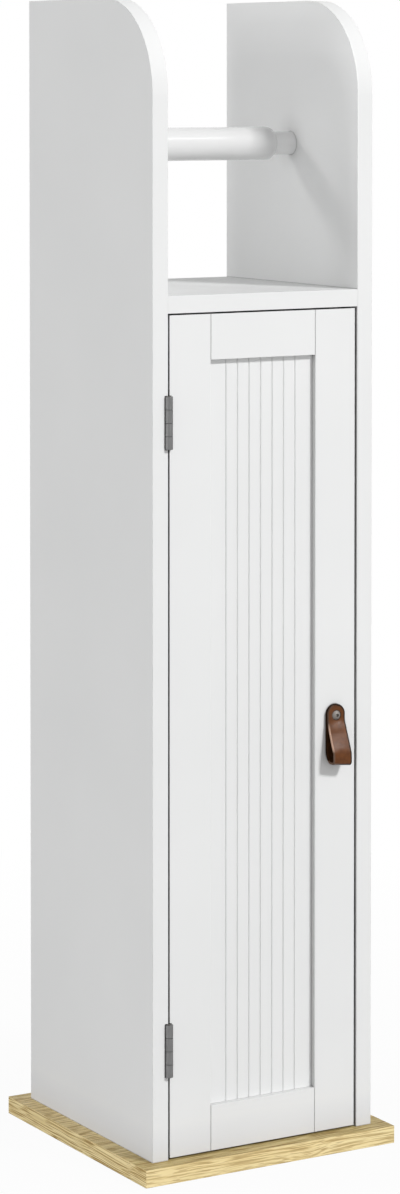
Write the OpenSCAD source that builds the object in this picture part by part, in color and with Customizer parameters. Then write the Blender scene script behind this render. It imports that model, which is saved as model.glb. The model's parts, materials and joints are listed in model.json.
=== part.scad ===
// Toilet roll storage cabinet: an oak-look base, a tall narrow cupboard with a framed door,
// and an open bay above it where a spring roller holds the roll in use.
// Millimetres. X runs to the right, Y to the back and Z up. The origin is on the floor,
// in the middle of the base board's underside.

/* [Cabinet] */
// Height from the floor to the top of the side panels
cabinet_h = 800; // [700:5:860]
// Width over the two side panels
body_w = 176; // [168:1:200]
// Depth of the side panels and the shelf
body_d = 176; // [168:1:200]
// Thickness of the side panels and the shelf
board_t = 12; // [12:0.5:16]
// Radius of the rounded corner at the top front of each side panel
corner_r = 65; // [20:1:80]
// Height of the open bay, from the shelf up to the top of the side panels
bay_h = 201; // [190:1:230]

/* [Base board] */
// How far the base board stands out past the body on every side
base_overhang = 12; // [4:0.5:20]
// Thickness of the base board
base_t = 12; // [10:0.5:18]

/* [Back board] */
// Thickness of the back board
back_t = 3; // [2.5:0.1:4]
// Distance from the back edges of the side panels to the back board
back_inset = 8; // [5:0.5:14]
// Depth of the grooves that hold the back board
back_groove = 5; // [3:0.5:6]

/* [Door] */
// Thickness of the door frame
door_t = 15; // [14:0.5:18]
// Gap between the door and each side panel
door_gap = 1.7; // [1.5:0.1:2.2]
// Gap above and below the door
door_end_gap = 1.2; // [0.8:0.1:2]
// How far the door's face lies behind the front edges of the side panels
door_setback = 0.7; // [0.2:0.1:1.2]
// Width of each upright of the door frame
stile_w = 32.4; // [28:0.2:38]
// Height of the top and bottom rails of the door frame
rail_h = 31.2; // [26:0.2:45]
// Depth of the groove inside the door frame that holds the panel and the rails' tongues
frame_groove = 8; // [5:0.5:10]
// Size of the small chamfer along the frame's inner edges and its joints
frame_chamfer = 0.4; // [0.2:0.1:0.8]
// Thickness of the door panel
panel_t = 5; // [4:0.2:6]
// How far the panel's face lies behind the frame's face
panel_recess = 4; // [3:0.2:5]
// Number of upright lines cut in the panel
line_count = 7; // [3:1:7]
// Distance from one line to the next
line_pitch = 9.25; // [6:0.05:9.8]
// Width of a line
line_w = 1.2; // [0.6:0.1:2]
// Depth of a line
line_depth = 0.8; // [0.4:0.1:1.2]

/* [Hinges] */
// Height of each hinge
hinge_h = 36; // [30:1:50]
// Diameter of the hinge's knuckles
knuckle_d = 5.5; // [5:0.1:6.5]
// Number of knuckles on each hinge, shared in turn by its two leaves
knuckle_count = 4; // [3:1:5]
// Diameter of the hinge pin
hinge_pin_d = 2.2; // [1.8:0.1:2.6]
// Width of a leaf, from the middle of the pin to its far edge
leaf_w = 13.2; // [11:0.1:14]
// Thickness of a leaf
leaf_t = 0.9; // [0.7:0.05:1]
// How far the middle of the pin stands in front of the side panels
hinge_stand_out = 0.6; // [0.2:0.1:1.2]
// Distance from the door's top edge down to the middle of the upper hinge
upper_hinge_drop = 72.4; // [40:0.2:120]
// Distance from the door's bottom edge up to the middle of the lower hinge
lower_hinge_rise = 73.9; // [40:0.2:120]
// Distance between the two screws of a leaf
leaf_screw_pitch = 20; // [16:0.5:24]

/* [Leather pull] */
// Width of the strap
pull_w = 14.2; // [12:0.2:18]
// Height of the folded strap, from its rounded top to the bottom of the loop
pull_l = 42.3; // [38:0.1:60]
// How far the loop stands out from the door
pull_depth = 12.7; // [11:0.1:14]
// Thickness of the leather
leather_t = 1.6; // [1.2:0.1:2]
// Distance from the top of the strap down to its screw
pull_screw_drop = 7.7; // [7:0.1:9]
// Distance from the screw down to where the two layers part
pull_part_drop = 4.8; // [4:0.1:7]
// How far the pull's screw lies above the middle of the door
pull_above_middle = 4.2; // [-150:0.1:150]
// Distance from the door's free edge to the middle of the pull
pull_from_edge = 16.8; // [14:0.1:20]
// Diameter of the screw's head
pull_head_d = 6.4; // [5.5:0.1:7]
// Height of the screw's domed head
pull_head_h = 1.5; // [1.2:0.1:2]

/* [Roller] */
// Diameter of the roller's barrel
roller_d = 23.5; // [22:0.1:28]
// Diameter of the neck at each end
neck_d = 16.6; // [14:0.1:17]
// Length of each neck between the barrel and the side panel
neck_l = 15.5; // [12:0.5:20]
// Height of the roller's axis above the shelf
roller_rise = 100; // [80:1:110]
// Wall of the barrel
roller_wall = 1.8; // [1.4:0.1:2.2]
// Radius of the rounding at the barrel's ends
roller_round = 6; // [2:0.5:7]
// Depth of the socket in each side panel
socket_depth = 6; // [4:0.5:8]
// How far the plunger can be pushed into the barrel
plunger_travel = 8; // [7:0.5:12]
// Length of the plunger's guide inside the barrel
guide_l = 24; // [16:1:30]
// Diameter of the spring's wire
wire_d = 1; // [0.8:0.1:1.4]
// Mean diameter of the spring's coils
coil_d = 11.4; // [11:0.1:13]
// Number of coils in the spring
coil_count = 14; // [8:1:18]

/* [Magnetic catch] */
// Width of the catch over its two ears
catch_w = 34; // [32:0.5:35]
// Width of the catch's body between the ears
catch_body_w = 20; // [18:0.5:21]
// Height of the catch below the shelf
catch_h = 13; // [12:0.5:16]
// Depth of the catch from front to back
catch_d = 14; // [12:0.5:16]
// Thickness of the catch's ears
ear_t = 2.6; // [2:0.1:3.2]
// Thickness of the magnet
magnet_t = 4.2; // [3.4:0.1:5]
// Thickness of each steel plate beside the magnet
pole_t = 1.4; // [1:0.1:1.6]
// Height of the strike plate on the door
strike_h = 11; // [9:0.5:12]
// Thickness of the strike plate
strike_t = 1.2; // [1:0.1:1.6]

/* [Fixings] */
// Distance from the front and back edges to the base screws
base_screw_inset = 28; // [20:1:36]
// Distance from the front and back edges to the base dowels
base_dowel_inset = 50; // [42:1:70]
// Length of the base screws
base_screw_l = 38; // [32:1:45]
// Diameter of the base screws
base_screw_d = 3.5; // [3:0.1:4]
// Distance from the front and back edges to the shelf's cam locks
cam_inset = 42; // [40:1:48]
// Distance from the front and back edges to the shelf's dowels
shelf_dowel_inset = 62; // [58:1:74]
// Diameter of the cam locks
cam_d = 12; // [11:0.5:14]
// Distance from the end of the shelf to the middle of a cam lock
cam_setback = 20; // [16:0.5:24]
// Diameter of the thread of a cam bolt
bolt_thread_d = 5; // [4.5:0.1:6]
// Diameter of the dowels
dowel_d = 6; // [5:0.5:6]
// Length of the dowels
dowel_l = 24; // [20:1:30]
// Diameter of the small screws of the hinges and the catch
small_screw_d = 2.6; // [2.2:0.1:2.8]
// Length of the small screws of the hinges and the catch
small_screw_l = 9; // [7:0.5:10]

/* [Hidden] */
$fn = 64;

// Colours
white_paint = "#ececec";
oak = "#d9c292";
hardboard = "#e2e1dd";
bare_wood = "#d8b98a";
grey_steel = "#8a8a8a";
bright_steel = "#b4b2ae";
brown_leather = "#7d5338";
white_plastic = "#f4f4f4";
dark_ferrite = "#3a3a3c";

// Clearances
cut = 1;            // how far a cutting shape runs past the face that it opens
snug = 0.05;        // around a pin, screw, dowel or bolt in its hole
slide_fit = 0.07;   // around the parts of the roller that turn or slide
seat_gap = 0.3;     // between parts that come close and don't touch
groove_play = 0.2;  // width and depth that a groove has to spare

// Body: the planes that everything else is placed from
inner_x = body_w / 2 - board_t;
side_mid_x = body_w / 2 - board_t / 2;
front_y = -body_d / 2;
back_y = body_d / 2;
shelf_top_z = cabinet_h - bay_h;
shelf_z = shelf_top_z - board_t;
shelf_mid_z = shelf_z + board_t / 2;

// Back board
back_y1 = back_y - back_inset;
back_y0 = back_y1 - back_t;
back_half_w = inner_x + back_groove - groove_play;
back_top_z = shelf_z + back_groove - groove_play;

// Door
door_x = inner_x - door_gap;
door_z0 = base_t + door_end_gap;
door_z1 = shelf_z - door_end_gap;
door_y0 = front_y + door_setback;
door_y1 = door_y0 + door_t;
opening_x = door_x - stile_w;
opening_z0 = door_z0 + rail_h;
opening_z1 = door_z1 - rail_h;
groove_y0 = door_y0 + panel_recess;
groove_y1 = groove_y0 + panel_t + groove_play;
tongue_x = opening_x + frame_groove - groove_play;
panel_x = opening_x + frame_groove - seat_gap;
panel_z0 = opening_z0 - frame_groove + seat_gap;
panel_z1 = opening_z1 + frame_groove - seat_gap;

// Hinges
hinge_x = -inner_x + (door_gap - leaf_t) / 2;
hinge_y = front_y - hinge_stand_out;
upper_hinge_z = door_z1 - upper_hinge_drop;
lower_hinge_z = door_z0 + lower_hinge_rise;
knuckle_r = knuckle_d / 2;
knuckle_h = hinge_h / knuckle_count;
knuckle_relief_r = knuckle_r + seat_gap;
leaf_screw_y = hinge_y + (knuckle_r + leaf_w) / 2;

// Small screws: the head is as deep as it is wide past the shank, so its cone is 90 degrees
small_head_d = small_screw_d + 2.2;
base_head_d = base_screw_d + 3.6;
screw_tip = 2;
slot_w = 0.6;
slot_depth = 0.7;

// Leather pull, worked out in its side view: u runs out from the door, v up from the loop's bottom
pull_x = door_x - pull_from_edge;
pull_z = (door_z0 + door_z1) / 2 + pull_above_middle;
pull_v0_z = pull_z - pull_l + pull_screw_drop;
loop_r = pull_depth / 2;
part_v = pull_l - pull_screw_drop - pull_part_drop;
part_u = 2 * leather_t;
part_reach = norm([part_u - loop_r, part_v - loop_r]);
tangent_angle = atan2(part_v - loop_r, part_u - loop_r) - acos(loop_r / part_reach);
inner_apex_v = loop_r + (loop_r - leather_t) * (1 + cos(tangent_angle)) / sin(tangent_angle);
pull_shank_d = 3.4;
pull_nut_d = 9;
pull_nut_t = 1.2;
pull_post_d = 5.4;
pull_post_l = 9;
pull_recess_d = 2.6;
pull_recess_depth = 1.4;

// Roller
roller_z = shelf_top_z + roller_rise;
roller_r = roller_d / 2;
neck_r = neck_d / 2;
bore_r = roller_r - roller_wall;
barrel_x = inner_x - neck_l;
end_wall = 4;
cap_l = roller_round + 1;
neck_tip_x = inner_x + socket_depth - seat_gap;
tip_chamfer = 1;
plug_spigot_l = 12;
flange_t = 3;
flange_x1 = barrel_x - end_wall - seat_gap;
flange_x0 = flange_x1 - flange_t;
guide_x0 = flange_x0 - guide_l;
guide_r = neck_r - snug;
plug_face_x = -barrel_x + cap_l + plug_spigot_l;
boss_l = 8;
boss_r = (coil_d - wire_d) / 2 - seat_gap;
coil_x0 = plug_face_x + snug + wire_d / 2;
coil_x1 = guide_x0 - snug - wire_d / 2;
end_pitch = wire_d + seat_gap + 0.2;
open_pitch = (coil_x1 - coil_x0 - 2 * end_pitch) / (coil_count - 2);
wire_sides = 6;
rings_per_coil = 10;
ring_count = coil_count * rings_per_coil;

// Magnetic catch
catch_x = door_x - stile_w / 2;
strike_y1 = door_y1 + strike_t;
pole_y0 = strike_y1 + seat_gap;
pole_stand_out = 0.5;
catch_y0 = pole_y0 + pole_stand_out;
pole_z = shelf_z - (catch_h + ear_t) / 2;
pole_w = catch_body_w - 3;
pole_l = catch_d - 2;
pocket_h = magnet_t + 2 * pole_t + groove_play;
pocket_w = pole_w + groove_play;
pocket_l = pole_l - pole_stand_out + groove_play;
magnet_l = pole_l - 1.5;
ear_screw_x = (catch_w + catch_body_w) / 4;
catch_screw_y = catch_y0 + catch_d / 2;
strike_w = catch_body_w + 2;

// Fixings
base_screw_y = body_d / 2 - base_screw_inset;
base_dowel_y = body_d / 2 - base_dowel_inset;
cam_y = body_d / 2 - cam_inset;
shelf_dowel_y = body_d / 2 - shelf_dowel_inset;
cam_x = inner_x - cam_setback;
cam_depth = board_t / 2 + 3.6;
bolt_head_r = 2.8;
bolt_head_l = 2.4;
bolt_neck_r = 1.5;
bolt_shaft_r = 2;
bolt_thread_l = board_t - 3;
head_room = seat_gap;
dowel_in_base = base_t - 4;
dowel_in_side = board_t - 4;
hole_end = 0.5;     // how much deeper a blind hole is than what goes in it

// ---------- Placing ----------

module both_sides() {
    children();
    mirror([1, 0, 0]) children();
}

module front_and_back(y) {
    for (side = [-1, 1]) translate([0, side * y, 0]) children();
}

// A shape drawn along +Z is laid along +X, -X, -Y or +Y, starting at a point
module along_x(at) { translate(at) rotate([0, 90, 0]) children(); }
module along_minus_x(at) { translate(at) rotate([0, -90, 0]) children(); }
module along_y(at) { translate(at) rotate([-90, 0, 0]) children(); }
module along_minus_y(at) { translate(at) rotate([90, 0, 0]) children(); }

// A box from one corner to the opposite one
module block(low, high) { translate(low) cube(high - low); }

// A flat outline in Y and Z, given its thickness along X
module upright(x, thickness) {
    translate([x, 0, 0]) rotate([90, 0, 90]) linear_extrude(thickness) children();
}

// ---------- Fasteners ----------

// A countersunk screw drawn point first along +Z: its head's flat face is at z = 0
module screw_body(length, d, head_d, play = 0) {
    r = d / 2 + play;
    head_r = head_d / 2 + play;
    rotate_extrude() polygon([
        [0, 0], [head_r, 0], [r, head_r - r], [r, length - screw_tip], [0.3 + play, length + play], [0, length + play]
    ]);
}

module slotted_screw(length, d, head_d) {
    difference() {
        screw_body(length, d, head_d);
        for (turn = [0, 90]) rotate([0, 0, turn])
            translate([-head_d / 3, -slot_w / 2, -cut]) cube([head_d * 2 / 3, slot_w, slot_depth + cut]);
    }
}

module screw_hole(length, d, head_d) { screw_body(length, d, head_d, snug); }

module dowel(length) { cylinder(d = dowel_d, h = length); }

module dowel_hole(length) {
    translate([0, 0, -cut]) cylinder(d = dowel_d + 2 * snug, h = length + cut);
}

// ---------- Boards ----------

module at_base_screws() {
    both_sides() front_and_back(base_screw_y) translate([side_mid_x, 0, 0]) children();
}

module base_screw_holes() { at_base_screws() screw_hole(base_screw_l, base_screw_d, base_head_d); }

module at_base_dowels() {
    both_sides() front_and_back(base_dowel_y) translate([side_mid_x, 0, base_t - dowel_in_base]) children();
}

module base_dowel_holes() {
    at_base_dowels() translate([0, 0, -hole_end / 2]) cylinder(d = dowel_d + 2 * snug, h = dowel_l + hole_end);
}

// The shelf's bolts and dowels lie in the middle of its thickness
module at_shelf_bolts() {
    both_sides() front_and_back(cam_y) translate([0, 0, shelf_mid_z]) children();
}

module at_shelf_dowels() {
    both_sides() front_and_back(shelf_dowel_y) translate([inner_x + dowel_in_side, 0, shelf_mid_z])
        rotate([0, -90, 0]) children();
}

module shelf_dowel_holes() {
    at_shelf_dowels() translate([0, 0, -hole_end / 2]) cylinder(d = dowel_d + 2 * snug, h = dowel_l + hole_end);
}

module base_board() {
    half_w = body_w / 2 + base_overhang;
    half_d = body_d / 2 + base_overhang;
    color(oak) difference() {
        block([-half_w, -half_d, 0], [half_w, half_d, base_t]);
        base_screw_holes();
        base_dowel_holes();
    }
}

// One side seen from the side: the front is at low y, and the top front corner is rounded
module side_outline() {
    corner = [front_y + corner_r, cabinet_h - corner_r];
    difference() {
        translate([front_y, base_t]) square([body_d, cabinet_h - base_t]);
        difference() {
            translate([front_y - cut, corner[1]]) square([corner_r + cut, corner_r + cut]);
            translate(corner) circle(corner_r, $fn = 128);
        }
    }
}

module back_board_groove() {
    block([-back_half_w - groove_play, back_y0 - groove_play / 2, base_t - cut],
          [back_half_w + groove_play, back_y1 + groove_play / 2, back_top_z + groove_play]);
}

module roller_sockets() {
    both_sides() along_x([inner_x - cut, 0, roller_z])
        cylinder(r = neck_r + slide_fit, h = socket_depth + cut);
}

module bolt_thread_holes() {
    at_shelf_bolts() along_x([inner_x - cut, 0, 0])
        cylinder(d = bolt_thread_d + 2 * snug, h = bolt_thread_l + cut + hole_end);
}

module side_panel_blank(x) {
    difference() {
        upright(x, board_t) side_outline();
        back_board_groove();
        roller_sockets();
        bolt_thread_holes();
        shelf_dowel_holes();
        base_screw_holes();
        base_dowel_holes();
    }
}

module right_side_panel() { color(white_paint) side_panel_blank(inner_x); }

// The left panel carries the hinges, so it has their pockets
module left_side_panel() {
    color(white_paint) difference() {
        side_panel_blank(-body_w / 2);
        for (z = [lower_hinge_z, upper_hinge_z]) {
            frame_leaf_pocket(z);
            knuckle_relief(z);
            frame_leaf_screws(z) screw_hole(small_screw_l, small_screw_d, small_head_d);
        }
    }
}

module roll_bay_shelf() {
    color(white_paint) difference() {
        block([-inner_x, front_y, shelf_z], [inner_x, back_y, shelf_top_z]);
        back_board_groove();
        at_shelf_bolts() {
            along_x([cam_x, 0, 0]) cylinder(r = bolt_head_r + snug, h = cam_setback + cut);
            translate([cam_x, 0, shelf_z - shelf_mid_z - cut])
                cylinder(d = cam_d + 2 * snug, h = cam_depth + cut + snug);
        }
        shelf_dowel_holes();
        catch_screw_places() screw_hole(small_screw_l, small_screw_d, small_head_d);
    }
}

module back_board() {
    color(hardboard) block([-back_half_w, back_y0, base_t], [back_half_w, back_y1, back_top_z]);
}

module base_screws() { color(bright_steel) at_base_screws() slotted_screw(base_screw_l, base_screw_d, base_head_d); }

module base_dowels() { color(bare_wood) at_base_dowels() dowel(dowel_l); }

module shelf_dowels() { color(bare_wood) at_shelf_dowels() dowel(dowel_l); }

// A cam bolt: a thread in the side panel, a shaft through the shelf's end and a head inside the cam
module shelf_cam_bolts() {
    shaft_l = cam_setback - cam_d / 2 - snug;
    color(bright_steel) at_shelf_bolts() {
        along_x([inner_x, 0, 0]) cylinder(d = bolt_thread_d, h = bolt_thread_l);
        along_minus_x([inner_x, 0, 0]) cylinder(r = bolt_shaft_r, h = shaft_l);
        along_minus_x([inner_x, 0, 0]) cylinder(r = bolt_neck_r, h = cam_setback);
        along_x([cam_x - bolt_head_l / 2, 0, 0]) cylinder(r = bolt_head_r - snug, h = bolt_head_l);
    }
}

// A cam lock: a disc in the shelf's underside, hollow where it takes the bolt's head, with a screwdriver cross
module shelf_cam_locks() {
    head_r = bolt_head_r + head_room / 2;
    cross_w = 1.6;
    cross_depth = 1.2;
    color(bright_steel) both_sides() front_and_back(cam_y) translate([cam_x, 0, shelf_z]) difference() {
        cylinder(d = cam_d, h = cam_depth);
        along_x([-bolt_head_l / 2 - head_room, 0, board_t / 2])
            cylinder(r = head_r, h = bolt_head_l + 2 * head_room);
        along_x([0, 0, board_t / 2]) cylinder(r = bolt_neck_r + head_room / 2, h = cam_d);
        for (turn = [0, 90]) rotate([0, 0, turn])
            translate([-cam_d / 3, -cross_w / 2, -cut]) cube([cam_d * 2 / 3, cross_w, cross_depth + cut]);
    }
}

// ---------- Hinges ----------

// Knuckles alternate from the bottom: the door's leaf has the even ones and the frame's leaf the odd ones
module knuckles(z, first, r, play) {
    for (i = [first : 2 : knuckle_count - 1])
        translate([hinge_x, hinge_y, z - hinge_h / 2 + i * knuckle_h + play])
            cylinder(r = r, h = knuckle_h - 2 * play);
}

module knuckle_relief(z) {
    translate([hinge_x, hinge_y, z - hinge_h / 2 - seat_gap])
        cylinder(r = knuckle_relief_r, h = hinge_h + 2 * seat_gap);
}

// One leaf: a plate and its own knuckles, cut away around the other leaf's knuckles
module hinge_leaf(z, plate_x, first, other) {
    knuckle_play = seat_gap / 2;
    difference() {
        union() {
            difference() {
                block([plate_x, hinge_y, z - hinge_h / 2], [plate_x + leaf_t, hinge_y + leaf_w, z + hinge_h / 2]);
                knuckles(z, other, knuckle_relief_r, -knuckle_play);
            }
            knuckles(z, first, knuckle_r, knuckle_play);
        }
        translate([hinge_x, hinge_y, z - hinge_h / 2 - cut])
            cylinder(d = hinge_pin_d + 2 * snug, h = hinge_h + 2 * cut);
    }
}

module leaf_screw_heights(z) {
    for (side = [-1, 1]) translate([0, 0, z + side * leaf_screw_pitch / 2]) children();
}

module frame_leaf_screws(z) {
    leaf_screw_heights(z) along_minus_x([-inner_x, leaf_screw_y, 0]) children();
}

module door_leaf_screws(z) {
    leaf_screw_heights(z) along_x([-door_x - leaf_t, leaf_screw_y, 0]) children();
}

module frame_leaf_pocket(z) {
    block([-inner_x - leaf_t, front_y - cut, z - hinge_h / 2 - snug],
          [-inner_x + cut, hinge_y + leaf_w + snug, z + hinge_h / 2 + snug]);
}

module hinge_frame_leaf(z) {
    color(grey_steel) difference() {
        hinge_leaf(z, -inner_x - leaf_t, 1, 0);
        frame_leaf_screws(z) screw_hole(small_screw_l, small_screw_d, small_head_d);
    }
}

module hinge_door_leaf(z) {
    color(grey_steel) difference() {
        hinge_leaf(z, -door_x - leaf_t, 0, 1);
        door_leaf_screws(z) screw_hole(small_screw_l, small_screw_d, small_head_d);
    }
}

module hinge_pin(z) {
    color(bright_steel) translate([hinge_x, hinge_y, z - hinge_h / 2]) cylinder(d = hinge_pin_d, h = hinge_h);
}

module upper_hinge_frame_leaf() { hinge_frame_leaf(upper_hinge_z); }
module lower_hinge_frame_leaf() { hinge_frame_leaf(lower_hinge_z); }
module upper_hinge_door_leaf() { hinge_door_leaf(upper_hinge_z); }
module lower_hinge_door_leaf() { hinge_door_leaf(lower_hinge_z); }
module upper_hinge_pin() { hinge_pin(upper_hinge_z); }
module lower_hinge_pin() { hinge_pin(lower_hinge_z); }

module hinge_frame_screws() {
    color(bright_steel) for (z = [lower_hinge_z, upper_hinge_z])
        frame_leaf_screws(z) slotted_screw(small_screw_l, small_screw_d, small_head_d);
}

module hinge_door_screws() {
    color(bright_steel) for (z = [lower_hinge_z, upper_hinge_z])
        door_leaf_screws(z) slotted_screw(small_screw_l, small_screw_d, small_head_d);
}

// ---------- Door ----------

// An upright of the frame in plan, on the right side: its groove opens towards the panel
module stile_plan() {
    outer_x = opening_x + stile_w;
    difference() {
        polygon([
            [opening_x, door_y0 + frame_chamfer], [opening_x + frame_chamfer, door_y0], [outer_x, door_y0],
            [outer_x, door_y1], [opening_x, door_y1]
        ]);
        translate([opening_x - cut, groove_y0]) square([frame_groove + cut, groove_y1 - groove_y0]);
    }
}

module stile() { translate([0, 0, door_z0]) linear_extrude(door_z1 - door_z0) stile_plan(); }

module door_left_stile() {
    color(white_paint) difference() {
        mirror([1, 0, 0]) stile();
        for (z = [lower_hinge_z, upper_hinge_z]) {
            knuckle_relief(z);
            door_leaf_screws(z) screw_hole(small_screw_l, small_screw_d, small_head_d);
        }
    }
}

module door_right_stile() {
    color(white_paint) difference() {
        stile();
        along_y([pull_x, door_y0 - cut, pull_z]) cylinder(d = pull_shank_d + 2 * snug, h = door_t + 2 * cut);
        along_minus_y([pull_x, door_y1 + cut, pull_z])
            cylinder(d = pull_post_d + 2 * snug, h = pull_post_l + snug + cut);
        strike_screw_place() screw_hole(small_screw_l, small_screw_d, small_head_d);
    }
}

// The part of a rail between the uprights, in plan: its front corners are chamfered
module rail_plan() {
    face_x = opening_x - frame_chamfer;
    polygon([
        [-opening_x, door_y1], [-opening_x, door_y0 + frame_chamfer], [-face_x, door_y0],
        [face_x, door_y0], [opening_x, door_y0 + frame_chamfer], [opening_x, door_y1]
    ]);
}

// A rail with a tongue at each end: z0 and z1 are its edges, and its groove opens at groove_z0 to groove_z1
module rail(z0, z1, groove_z0, groove_z1) {
    color(white_paint) difference() {
        union() {
            translate([0, 0, z0]) linear_extrude(z1 - z0) rail_plan();
            block([-tongue_x, groove_y0 + groove_play / 2, z0], [tongue_x, groove_y1 - groove_play / 2, z1]);
        }
        block([-tongue_x - cut, groove_y0, groove_z0], [tongue_x + cut, groove_y1, groove_z1]);
    }
}

module door_top_rail() { rail(opening_z1, door_z1, opening_z1 - cut, opening_z1 + frame_groove); }

module door_bottom_rail() { rail(door_z0, opening_z0, opening_z0 - frame_groove, opening_z0 + cut); }

// The panel in plan: a thin board with upright lines cut in its face
module panel_plan() {
    face_y = groove_y0 + groove_play / 2;
    difference() {
        translate([-panel_x, face_y]) square([2 * panel_x, panel_t]);
        for (i = [0 : line_count - 1])
            translate([(i - (line_count - 1) / 2) * line_pitch, face_y]) polygon([
                [-line_w / 2, 0], [-line_w / 2, -cut], [line_w / 2, -cut], [line_w / 2, 0], [0, line_depth]
            ]);
    }
}

module door_panel() {
    color(white_paint) translate([0, 0, panel_z0]) linear_extrude(panel_z1 - panel_z0) panel_plan();
}

// ---------- Leather pull ----------

// A point of the loop's bend, at a distance from its centre, where the slanting front layer meets it
function bend_end(r) = [loop_r + r * cos(tangent_angle), loop_r + r * sin(tangent_angle)];

// The two layers above the bend from the side: flat together at the top, parting below the screw
module layers_side_view() {
    inner_r = loop_r - leather_t;
    polygon([
        [0, loop_r], [leather_t, loop_r], [leather_t, inner_apex_v], bend_end(inner_r), bend_end(loop_r),
        [part_u, part_v], [part_u, pull_l], [0, pull_l]
    ]);
}

// The bend from the side: the part of a ring below the lines where the two layers meet it
module bend_side_view() {
    far = 2 * loop_r;
    translate([loop_r, loop_r]) difference() {
        circle(loop_r);
        circle(loop_r - leather_t);
        polygon([[0, 0], [-far, 0], [-far, far], [far, far], [far, far * tan(tangent_angle)]]);
    }
}

// The folded strap at its full width
module folded_strap() {
    translate([-pull_w / 2, 0, 0]) rotate([90, 0, 90]) {
        linear_extrude(pull_w) mirror([1, 0]) layers_side_view();
        linear_extrude(pull_w) mirror([1, 0]) bend_side_view();
    }
}

// The strap from the front: straight sides and a round top
module strap_front_view() {
    translate([-pull_w / 2, 0]) square([pull_w, pull_l - pull_w / 2]);
    translate([0, pull_l - pull_w / 2]) circle(pull_w / 2);
}

module leather_pull() {
    color(brown_leather) translate([pull_x, door_y0, pull_v0_z]) difference() {
        intersection() {
            folded_strap();
            translate([0, cut, 0]) rotate([90, 0, 0]) linear_extrude(pull_depth + 2 * cut) strap_front_view();
        }
        along_minus_y([0, cut, pull_l - pull_screw_drop])
            cylinder(d = pull_shank_d + 2 * snug, h = part_u + 2 * cut);
    }
}

// A domed screw through both layers of the strap and the door's upright, with a six-sided recess
module pull_screw() {
    shank_end_y = door_y1 - pull_nut_t / 2;
    head_y = door_y0 - part_u;
    dome_r = (pull_head_d * pull_head_d / 4 + pull_head_h * pull_head_h) / (2 * pull_head_h);
    color(bright_steel) difference() {
        union() {
            along_y([pull_x, head_y, pull_z]) cylinder(d = pull_shank_d, h = shank_end_y - head_y);
            intersection() {
                translate([pull_x, head_y - pull_head_h + dome_r, pull_z]) sphere(dome_r);
                along_minus_y([pull_x, head_y, pull_z]) cylinder(d = pull_head_d, h = pull_head_h);
            }
        }
        along_y([pull_x, head_y - pull_head_h - cut, pull_z])
            cylinder(d = pull_recess_d, h = pull_recess_depth + cut, $fn = 6);
    }
}

// The nut behind the door: a round flange and a post that the screw runs into
module pull_nut() {
    color(bright_steel) difference() {
        union() {
            along_y([pull_x, door_y1, pull_z]) cylinder(d = pull_nut_d, h = pull_nut_t);
            along_minus_y([pull_x, door_y1, pull_z]) cylinder(d = pull_post_d, h = pull_post_l);
        }
        along_minus_y([pull_x, door_y1 - pull_nut_t / 2 + snug, pull_z])
            cylinder(d = pull_shank_d + 2 * snug, h = pull_post_l + cut);
    }
}

// ---------- Magnetic catch ----------

module catch_screw_places() {
    for (side = [-1, 1]) translate([catch_x + side * ear_screw_x, catch_screw_y, shelf_z - ear_t]) children();
}

module strike_screw_place() { along_minus_y([catch_x, strike_y1, pole_z]) children(); }

module catch_housing() {
    color(white_plastic) difference() {
        union() {
            block([catch_x - catch_body_w / 2, catch_y0, shelf_z - catch_h],
                  [catch_x + catch_body_w / 2, catch_y0 + catch_d, shelf_z]);
            block([catch_x - catch_w / 2, catch_y0, shelf_z - ear_t],
                  [catch_x + catch_w / 2, catch_y0 + catch_d, shelf_z]);
        }
        block([catch_x - pocket_w / 2, catch_y0 - cut, pole_z - pocket_h / 2],
              [catch_x + pocket_w / 2, catch_y0 + pocket_l, pole_z + pocket_h / 2]);
        catch_screw_places() screw_hole(small_screw_l, small_screw_d, small_head_d);
    }
}

module catch_magnet() {
    color(dark_ferrite) block([catch_x - pole_w / 2, pole_y0 + pole_l - magnet_l, pole_z - magnet_t / 2],
                              [catch_x + pole_w / 2, pole_y0 + pole_l, pole_z + magnet_t / 2]);
}

module catch_pole_plates() {
    color(bright_steel) for (z = [pole_z - magnet_t / 2 - pole_t, pole_z + magnet_t / 2])
        block([catch_x - pole_w / 2, pole_y0, z], [catch_x + pole_w / 2, pole_y0 + pole_l, z + pole_t]);
}

module catch_screws() {
    color(bright_steel) catch_screw_places() slotted_screw(small_screw_l, small_screw_d, small_head_d);
}

module strike_plate() {
    color(bright_steel) difference() {
        block([catch_x - strike_w / 2, door_y1, pole_z - strike_h / 2],
              [catch_x + strike_w / 2, strike_y1, pole_z + strike_h / 2]);
        strike_screw_place() screw_hole(small_screw_l, small_screw_d, small_head_d);
    }
}

module strike_screw() {
    color(bright_steel) strike_screw_place() slotted_screw(small_screw_l, small_screw_d, small_head_d);
}

// ---------- Roller ----------

// Half of a bar's section, from its axis out: the far corner is rounded
module rounded_half_section(r, length) {
    intersection() {
        square([r, length]);
        union() {
            translate([0, -roller_round]) square([r - roller_round, length + roller_round]);
            translate([0, -roller_round]) square([r, length]);
            translate([r - roller_round, length - roller_round]) circle(roller_round);
        }
    }
}

// A neck with a chamfered tip, drawn along +Z
module neck(length) {
    rotate_extrude() polygon([[0, 0], [neck_r, 0], [neck_r, length - tip_chamfer], [neck_r - tip_chamfer, length],
        [0, length]]);
}

// The barrel: a tube with a wall at its right end that the plunger runs through
module roller_barrel() {
    length = 2 * barrel_x - cap_l;
    color(white_plastic) along_x([-barrel_x + cap_l, 0, roller_z]) rotate_extrude() difference() {
        rounded_half_section(roller_r, length);
        translate([-cut, -cut]) square([bore_r + cut, length - end_wall + cut]);
        translate([-cut, -cut]) square([neck_r + slide_fit + cut, length + 2 * cut]);
    }
}

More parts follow.
